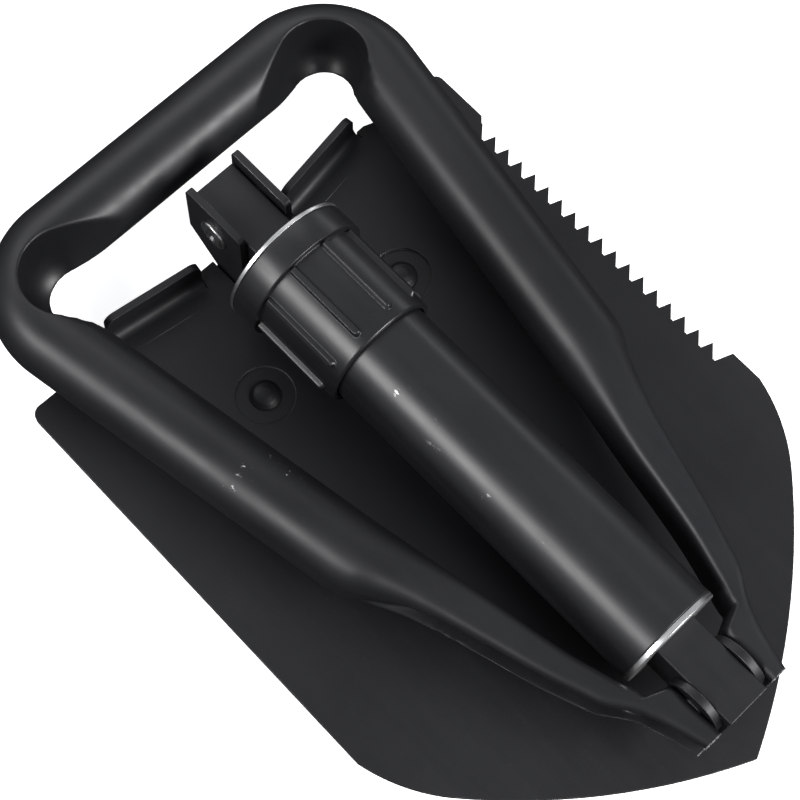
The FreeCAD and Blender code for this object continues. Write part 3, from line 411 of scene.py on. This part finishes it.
def make_rivets():
    """Two domed rivets on the blade, each with a small crown ring where the die pressed it."""
    low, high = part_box("blade_rivets")
    spot_x, spot_y = high.x - 4.3 * MM, (low.y + high.y) / 2
    seat = high.z - 2.3 * MM
    shank = [(low.z - seat, 0.02 * MM), (low.z - seat, 2.6 * MM)]
    head = ((0.0, 2.6), (0.0, 4.3), (0.35, 4.3), (1.55, 3.1), (2.2, 1.5), (2.3, 0.02))
    outline = shank + [(along * MM, radius * MM) for along, radius in head]
    profile = rounded_path(outline, [r * MM for r in (0, 0.2, 0, 0.1, 0.3, 1.6, 1.2, 0)], steps=5)
    halves = []
    for side in (1, -1):
        halves.append(lathe("rivet_half", profile, (0, 0, 1), (side * spot_x, spot_y, seat), segments=48))
    piece = joined("rivets", halves)
    finish_piece(piece, "blade_body", "coated_steel", COATED_BLADE, "blade_rivets")
    return piece


def joined(name, parts):
    """Joins mesh pieces into one new piece, and removes the pieces."""
    bm = bmesh.new()
    for part in parts:
        bm.from_mesh(part.data)
    mesh = bpy.data.meshes.new(name)
    bm.to_mesh(mesh)
    bm.free()
    for part in parts:
        bpy.data.objects.remove(part)
    piece = bpy.data.objects.new(name, mesh)
    bpy.context.scene.collection.objects.link(piece)
    return piece


def finish_piece(piece, body, slot, material, *replaced):
    piece.data.materials.clear()
    piece.data.materials.append(material)
    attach(piece, body)
    if replaced:
        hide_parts(*replaced)


# ---------------------------------------------------------------- materials


class Graph:
    """Short forms for building a material's nodes."""

    def __init__(self, name):
        self.material = bpy.data.materials.new(name)
        self.material.use_nodes = True
        self.tree = self.material.node_tree
        self.shader = self.tree.nodes["Principled BSDF"]
        self.position = self.node("ShaderNodeTexCoord").outputs["Object"]

    def node(self, kind, **settings):
        made = self.tree.nodes.new(kind)
        for key, value in settings.items():
            setattr(made, key, value)
        return made

    def link(self, source, target):
        if isinstance(source, (int, float, tuple, list)):
            target.default_value = source
        else:
            self.tree.links.new(source, target)

    def noise(self, scale, detail=3.0, roughness=0.5, stretch=None, distortion=0.0):
        made = self.node("ShaderNodeTexNoise")
        where = self.position
        if stretch:
            mapping = self.node("ShaderNodeMapping")
            mapping.inputs["Scale"].default_value = stretch
            self.link(where, mapping.inputs["Vector"])
            where = mapping.outputs["Vector"]
        self.link(where, made.inputs["Vector"])
        made.inputs["Scale"].default_value = scale
        made.inputs["Detail"].default_value = detail
        made.inputs["Roughness"].default_value = roughness
        made.inputs["Distortion"].default_value = distortion
        return made.outputs["Fac"]

    def ramp(self, value, low, high, to_low=0.0, to_high=1.0, smooth=True):
        made = self.node("ShaderNodeMapRange")
        made.interpolation_type = "SMOOTHSTEP" if smooth else "LINEAR"
        self.link(value, made.inputs["Value"])
        for key, number in (("From Min", low), ("From Max", high), ("To Min", to_low), ("To Max", to_high)):
            made.inputs[key].default_value = number
        return made.outputs["Result"]

    def math(self, operation, a, b=0.0):
        made = self.node("ShaderNodeMath", operation=operation)
        self.link(a, made.inputs[0])
        self.link(b, made.inputs[1])
        return made.outputs[0]

    def mix(self, factor, a, b):
        made = self.node("ShaderNodeMix", data_type="RGBA")
        self.link(factor, made.inputs["Factor"])
        self.link(a, made.inputs["A"])
        self.link(b, made.inputs["B"])
        return made.outputs["Result"]

    def mix_number(self, factor, a, b):
        made = self.node("ShaderNodeMix", data_type="FLOAT")
        self.link(factor, made.inputs["Factor"])
        self.link(a, made.inputs["A"])
        self.link(b, made.inputs["B"])
        return made.outputs["Result"]

    def bump(self, height, strength, distance, normal=None):
        made = self.node("ShaderNodeBump")
        made.inputs["Strength"].default_value = strength
        made.inputs["Distance"].default_value = distance
        self.link(height, made.inputs["Height"])
        if normal is not None:
            self.link(normal, made.inputs["Normal"])
        return made.outputs["Normal"]

    def edges(self, radius):
        """The rounded normal, and how far it leans from the face: more than zero only near an edge."""
        bevel = self.node("ShaderNodeBevel", samples=6)
        bevel.inputs["Radius"].default_value = radius
        geometry = self.node("ShaderNodeNewGeometry")
        dot = self.node("ShaderNodeVectorMath", operation="DOT_PRODUCT")
        self.link(bevel.outputs["Normal"], dot.inputs[0])
        self.link(geometry.outputs["Normal"], dot.inputs[1])
        return bevel.outputs["Normal"], self.math("SUBTRACT", 1.0, dot.outputs["Value"])

    def axis(self, letter):
        made = self.node("ShaderNodeSeparateXYZ")
        self.link(self.position, made.inputs[0])
        return made.outputs[letter]

    def band(self, value, low, high, soft):
        """One between low and high, falling off over soft."""
        rise = self.ramp(value, low - soft, low)
        fall = self.ramp(value, high, high + soft, 1.0, 0.0)
        return self.math("MULTIPLY", rise, fall)


def coated(name, dark, light, rough, grain, wear=0.5, scuffs=None, edge=0.35 * MM, shine=0.5):
    """Satin black coating on steel: uneven tone, dust, fine orange peel, edges worn to bright metal, and a painted
    highlight that lightens every edge.
    """
    g = Graph(name)
    cloud = g.ramp(g.noise(14.0, 4.0, 0.55), 0.32, 0.7)
    speck = g.ramp(g.noise(2200.0, 2.0, 0.6), 0.62, 0.8)
    tone = g.mix(cloud, (*dark, 1.0), (*light, 1.0))
    tone = g.mix(g.math("MULTIPLY", speck, 0.35), tone, (0.05, 0.05, 0.053, 1.0))
    rounded, lean = g.edges(edge)
    ragged = g.noise(420.0, 5.0, 0.7)
    patchy = g.ramp(g.noise(60.0, 3.0, 0.6), 0.45, 0.62)
    worn = g.math("ADD", lean, g.math("MULTIPLY", g.math("SUBTRACT", ragged, 0.5), 0.5))
    worn = g.math("MULTIPLY", g.ramp(worn, 0.2, 0.32), g.math("MULTIPLY", patchy, wear))
    # Painted highlight: every edge is lightened by the same amount all round, whatever the light.
    painted_edge_highlight = g.math("MULTIPLY", g.ramp(lean, 0.03, 0.3), 0.55)
    if scuffs:
        worn = g.math("MAXIMUM", worn, scuffs(g))
    tone = g.mix(painted_edge_highlight, tone, (0.035, 0.035, 0.038, 1.0))
    tone = g.mix(worn, tone, (0.52, 0.52, 0.51, 1.0))
    g.link(tone, g.shader.inputs["Base Color"])
    g.link(g.math("MULTIPLY", worn, 0.9), g.shader.inputs["Metallic"])
    uneven = g.ramp(g.noise(38.0, 5.0, 0.6), 0.25, 0.75, rough - 0.035, rough + 0.045)
    streak = g.ramp(g.noise(320.0, 3.0, 0.55, stretch=(1.0, 0.06, 1.0)), 0.35, 0.75, -0.015, 0.03)
    roughness = g.mix_number(worn, g.math("ADD", uneven, streak), 0.34)
    g.link(roughness, g.shader.inputs["Roughness"])
    peel = g.noise(1100.0, 2.0, 0.5)
    fine = g.noise(3600.0, 2.0, 0.6)
    height = g.math("ADD", g.math("MULTIPLY", peel, 0.7), g.math("MULTIPLY", fine, 0.3))
    height = g.math("SUBTRACT", height, g.math("MULTIPLY", worn, 0.8))
    g.link(g.bump(height, grain, 0.05 * MM, rounded), g.shader.inputs["Normal"])
    g.shader.inputs["IOR"].default_value = 1.5
    g.shader.inputs["Specular IOR Level"].default_value = shine
    return g.material


def bare_steel(name, tint=(0.60, 0.60, 0.59), rough=0.26, turned_about="Y"):
    """Turned steel, lightly oiled: fine lathe lines round its axis, a few dull patches."""
    g = Graph(name)
    stretch = (0.25, 30.0, 0.25) if turned_about == "Y" else (30.0, 0.25, 0.25)
    lines = g.noise(60.0, 4.0, 0.65, stretch=stretch)
    patch = g.ramp(g.noise(120.0, 4.0, 0.6), 0.4, 0.7)
    tone = g.mix(patch, (*tint, 1.0), tuple(t * 0.78 for t in tint) + (1.0,))
    stain = g.ramp(g.noise(300.0, 5.0, 0.7), 0.6, 0.75)
    tone = g.mix(g.math("MULTIPLY", stain, 0.35), tone, (0.22, 0.21, 0.2, 1.0))
    g.link(tone, g.shader.inputs["Base Color"])
    g.shader.inputs["Metallic"].default_value = 1.0
    g.link(g.ramp(lines, 0.3, 0.7, rough - 0.06, rough + 0.1), g.shader.inputs["Roughness"])
    rounded, _ = g.edges(0.15 * MM)
    g.link(g.bump(lines, 0.12, 0.02 * MM, rounded), g.shader.inputs["Normal"])
    return g.material


def nylon(name):
    """Dull black nylon."""
    g = Graph(name)
    tone = g.mix(g.noise(40.0, 4.0), (0.02, 0.02, 0.021, 1.0), (0.035, 0.035, 0.037, 1.0))
    g.link(tone, g.shader.inputs["Base Color"])
    g.link(g.ramp(g.noise(300.0, 3.0), 0.3, 0.7, 0.42, 0.58), g.shader.inputs["Roughness"])
    g.link(g.bump(g.noise(900.0, 2.0), 0.15, 0.05 * MM), g.shader.inputs["Normal"])
    return g.material


def tube_scuffs(g):
    """Small bright chips along the upper left of the shaft tube, stopping short of both its ends."""
    along = g.band(g.axis("Y"), tube_low.y + 22 * MM, tube_high.y - 26 * MM, 12 * MM)
    side = g.band(g.axis("X"), -9.5 * MM, -6.5 * MM, 2.0 * MM)
    chips = g.ramp(g.noise(700.0, 6.0, 0.72, stretch=(1.0, 0.55, 1.0)), 0.565, 0.64)
    groups = g.ramp(g.noise(75.0, 3.0, 0.6), 0.5, 0.6)
    return g.math("MULTIPLY", g.math("MULTIPLY", chips, groups), g.math("MULTIPLY", along, side))


def leg_scuffs(g):
    """Chips on the left leg, and bare metal on the cut ends of both legs."""
    end = g.ramp(g.axis("Y"), handle_low.y + 0.15 * MM, handle_low.y + 0.45 * MM, 1.0, 0.0)
    ragged = g.ramp(g.noise(900.0, 4.0, 0.7), 0.38, 0.56)
    end = g.math("MULTIPLY", end, g.math("MULTIPLY", ragged, 0.8))
    along = g.band(g.axis("Y"), 2 * MM, 40 * MM, 8 * MM)
    left = g.band(g.axis("X"), -58 * MM, -38 * MM, 2 * MM)
    high = g.ramp(g.axis("Z"), 28.5 * MM, 30 * MM)
    chips = g.ramp(g.noise(650.0, 6.0, 0.72), 0.6, 0.66)
    groups = g.ramp(g.noise(60.0, 3.0, 0.6), 0.55, 0.62)
    chips = g.math("MULTIPLY", g.math("MULTIPLY", chips, groups), g.math("MULTIPLY", along, left))
    return g.math("MAXIMUM", end, g.math("MULTIPLY", chips, high))


BLACK = (0.0050, 0.0052, 0.0060)
BLACK_LIGHT = (0.0085, 0.0088, 0.0100)
COATED_BLADE = coated("coated_steel_blade", BLACK, BLACK_LIGHT, 0.48, 0.10, wear=0.35, shine=0.3)
COATED_TUBE = coated("coated_steel_tube", BLACK, BLACK_LIGHT, 0.35, 0.08, wear=0.6, scuffs=tube_scuffs, shine=0.5)
COATED_HANDLE = coated("coated_steel_handle", BLACK, BLACK_LIGHT, 0.40, 0.10, wear=0.5, scuffs=leg_scuffs, shine=0.36)
COATED_SPINE = coated("coated_steel_spine", BLACK, BLACK_LIGHT, 0.46, 0.10, wear=0.9, shine=0.32)
COLLAR_BLACK = coated(
    "collar_black", (0.0065, 0.0068, 0.0075), (0.010, 0.0102, 0.011), 0.30, 0.12, wear=0.4, shine=0.42
)
BARE_STEEL = bare_steel("bare_steel")
BARE_STEEL_BRIGHT = bare_steel("bare_steel_bright", tint=(0.74, 0.74, 0.73), rough=0.3)
NYLON = nylon("nylon_bush")

CAD_MATERIALS = {
    "blade": COATED_BLADE,
    "hinge_bracket": COATED_SPINE,
    "spine_channel": COATED_SPINE,
    "shaft_tube": COATED_TUBE,
    "tube_end_cap": BARE_STEEL_BRIGHT,
    "threaded_sleeve": BARE_STEEL,
    "collar_thrust_ring": BARE_STEEL_BRIGHT,
    "collar_snap_ring": BARE_STEEL,
    "blade_pivot_bush": BARE_STEEL,
    "handle_pivot_bush": BARE_STEEL,
    "handle_washer_right": COATED_SPINE,
    "handle_washer_left": COATED_SPINE,
    "rear_guide_bush": NYLON,
    "front_guide_bush": NYLON,
}


def dress_cad_nodes():
    for name, material in CAD_MATERIALS.items():
        node = nodes[name]
        node.data.materials.clear()
        node.data.materials.append(material)


# ---------------------------------------------------------------- floor, light, camera


def make_floor():
    bpy.ops.mesh.primitive_plane_add(size=6.0, location=(0, 0, -0.0003))
    floor = bpy.context.object
    floor.name = "floor"
    g = Graph("floor")
    g.link(g.mix(g.noise(3.0, 3.0), (0.9, 0.9, 0.9, 1.0), (0.93, 0.93, 0.93, 1.0)), g.shader.inputs["Base Color"])
    g.shader.inputs["Roughness"].default_value = 0.9
    g.shader.inputs["Specular IOR Level"].default_value = 0.1
    g.shader.inputs["Emission Color"].default_value = (1.0, 1.0, 1.0, 1.0)
    g.shader.inputs["Emission Strength"].default_value = 0.8
    floor.visible_glossy = False
    floor.data.materials.append(g.material)


def soft_light(name, azimuth, elevation, distance, size, power, aim=(0, 0, 0.02)):
    """A rectangular softbox seen from aim at the given azimuth and elevation, in degrees."""
    light = bpy.data.lights.new(name, "AREA")
    light.shape = "RECTANGLE"
    light.size, light.size_y = size
    light.energy = power
    a, e = math.radians(azimuth), math.radians(elevation)
    away = Vector((math.sin(a) * math.cos(e), -math.cos(a) * math.cos(e), math.sin(e)))
    lamp = bpy.data.objects.new(name, light)
    lamp.location = Vector(aim) + away * distance
    lamp.rotation_euler = away.to_track_quat("Z", "Y").to_euler()
    bpy.context.scene.collection.objects.link(lamp)


def make_lights():
    soft_light("left_softbox", -106.0, 38.0, 0.9, (0.62, 0.30), 6.5)
    soft_light("front_softbox", 20.0, 34.0, 0.95, (0.60, 0.20), 13.0)
    soft_light("right_softbox", 105.0, 12.0, 1.1, (0.5, 0.2), 0.5)
    soft_light("back_softbox", 165.0, 42.0, 1.1, (1.1, 0.55), 4.0)
    world = bpy.data.worlds.new("studio")
    bpy.context.scene.world = world
    world.use_nodes = True
    background = world.node_tree.nodes["Background"]
    background.inputs["Color"].default_value = (0.91, 0.95, 1.0, 1.0)
    # The studio is dark below the floor's level, so undersides stay dark
    tree = world.node_tree
    direction = tree.nodes.new("ShaderNodeTexCoord")
    split = tree.nodes.new("ShaderNodeSeparateXYZ")
    fade = tree.nodes.new("ShaderNodeMapRange")
    for key, number in (("From Min", -0.12), ("From Max", 0.1), ("To Min", 0.03), ("To Max", 0.42)):
        fade.inputs[key].default_value = number
    tree.links.new(direction.outputs["Generated"], split.inputs[0])
    tree.links.new(split.outputs["Z"], fade.inputs["Value"])
    tree.links.new(fade.outputs["Result"], background.inputs["Strength"])


CAMERA_PLACE = (-0.1287, -0.09312, 0.4801)
CAMERA_AZIMUTH = -50.05
CAMERA_ELEVATION = 70.55
CAMERA_ROLL = 6.5
CAMERA_LENS = 85.19


def make_camera():
    a, e, roll = (math.radians(v) for v in (CAMERA_AZIMUTH, CAMERA_ELEVATION, CAMERA_ROLL))
    forward = Vector((-math.sin(a) * math.cos(e), math.cos(a) * math.cos(e), -math.sin(e)))
    level = Vector((math.cos(a), math.sin(a), 0.0))
    above = level.cross(forward)
    right = level * math.cos(roll) + above * math.sin(roll)
    up = right.cross(forward)
    turn = Matrix((right, up, -forward)).transposed()
    data = bpy.data.cameras.new("camera")
    data.lens = CAMERA_LENS
    data.clip_start = 0.02
    camera = bpy.data.objects.new("camera", data)
    camera.matrix_world = Matrix.Translation(CAMERA_PLACE) @ turn.to_4x4()
    bpy.context.scene.collection.objects.link(camera)
    bpy.context.scene.camera = camera


dress_cad_nodes()
make_handle()
make_collar()
make_pin("blade_pin", PIN, "blade_pivot_pin", "blade_body", 9.0 * MM)
make_pin("handle_pin", HANDLE_PIN, "handle_pivot_pin", "handle_body", 11.3 * MM)
make_rivets()
make_floor()
make_lights()
make_camera()
bpy.context.scene.view_settings.view_transform = "Standard"
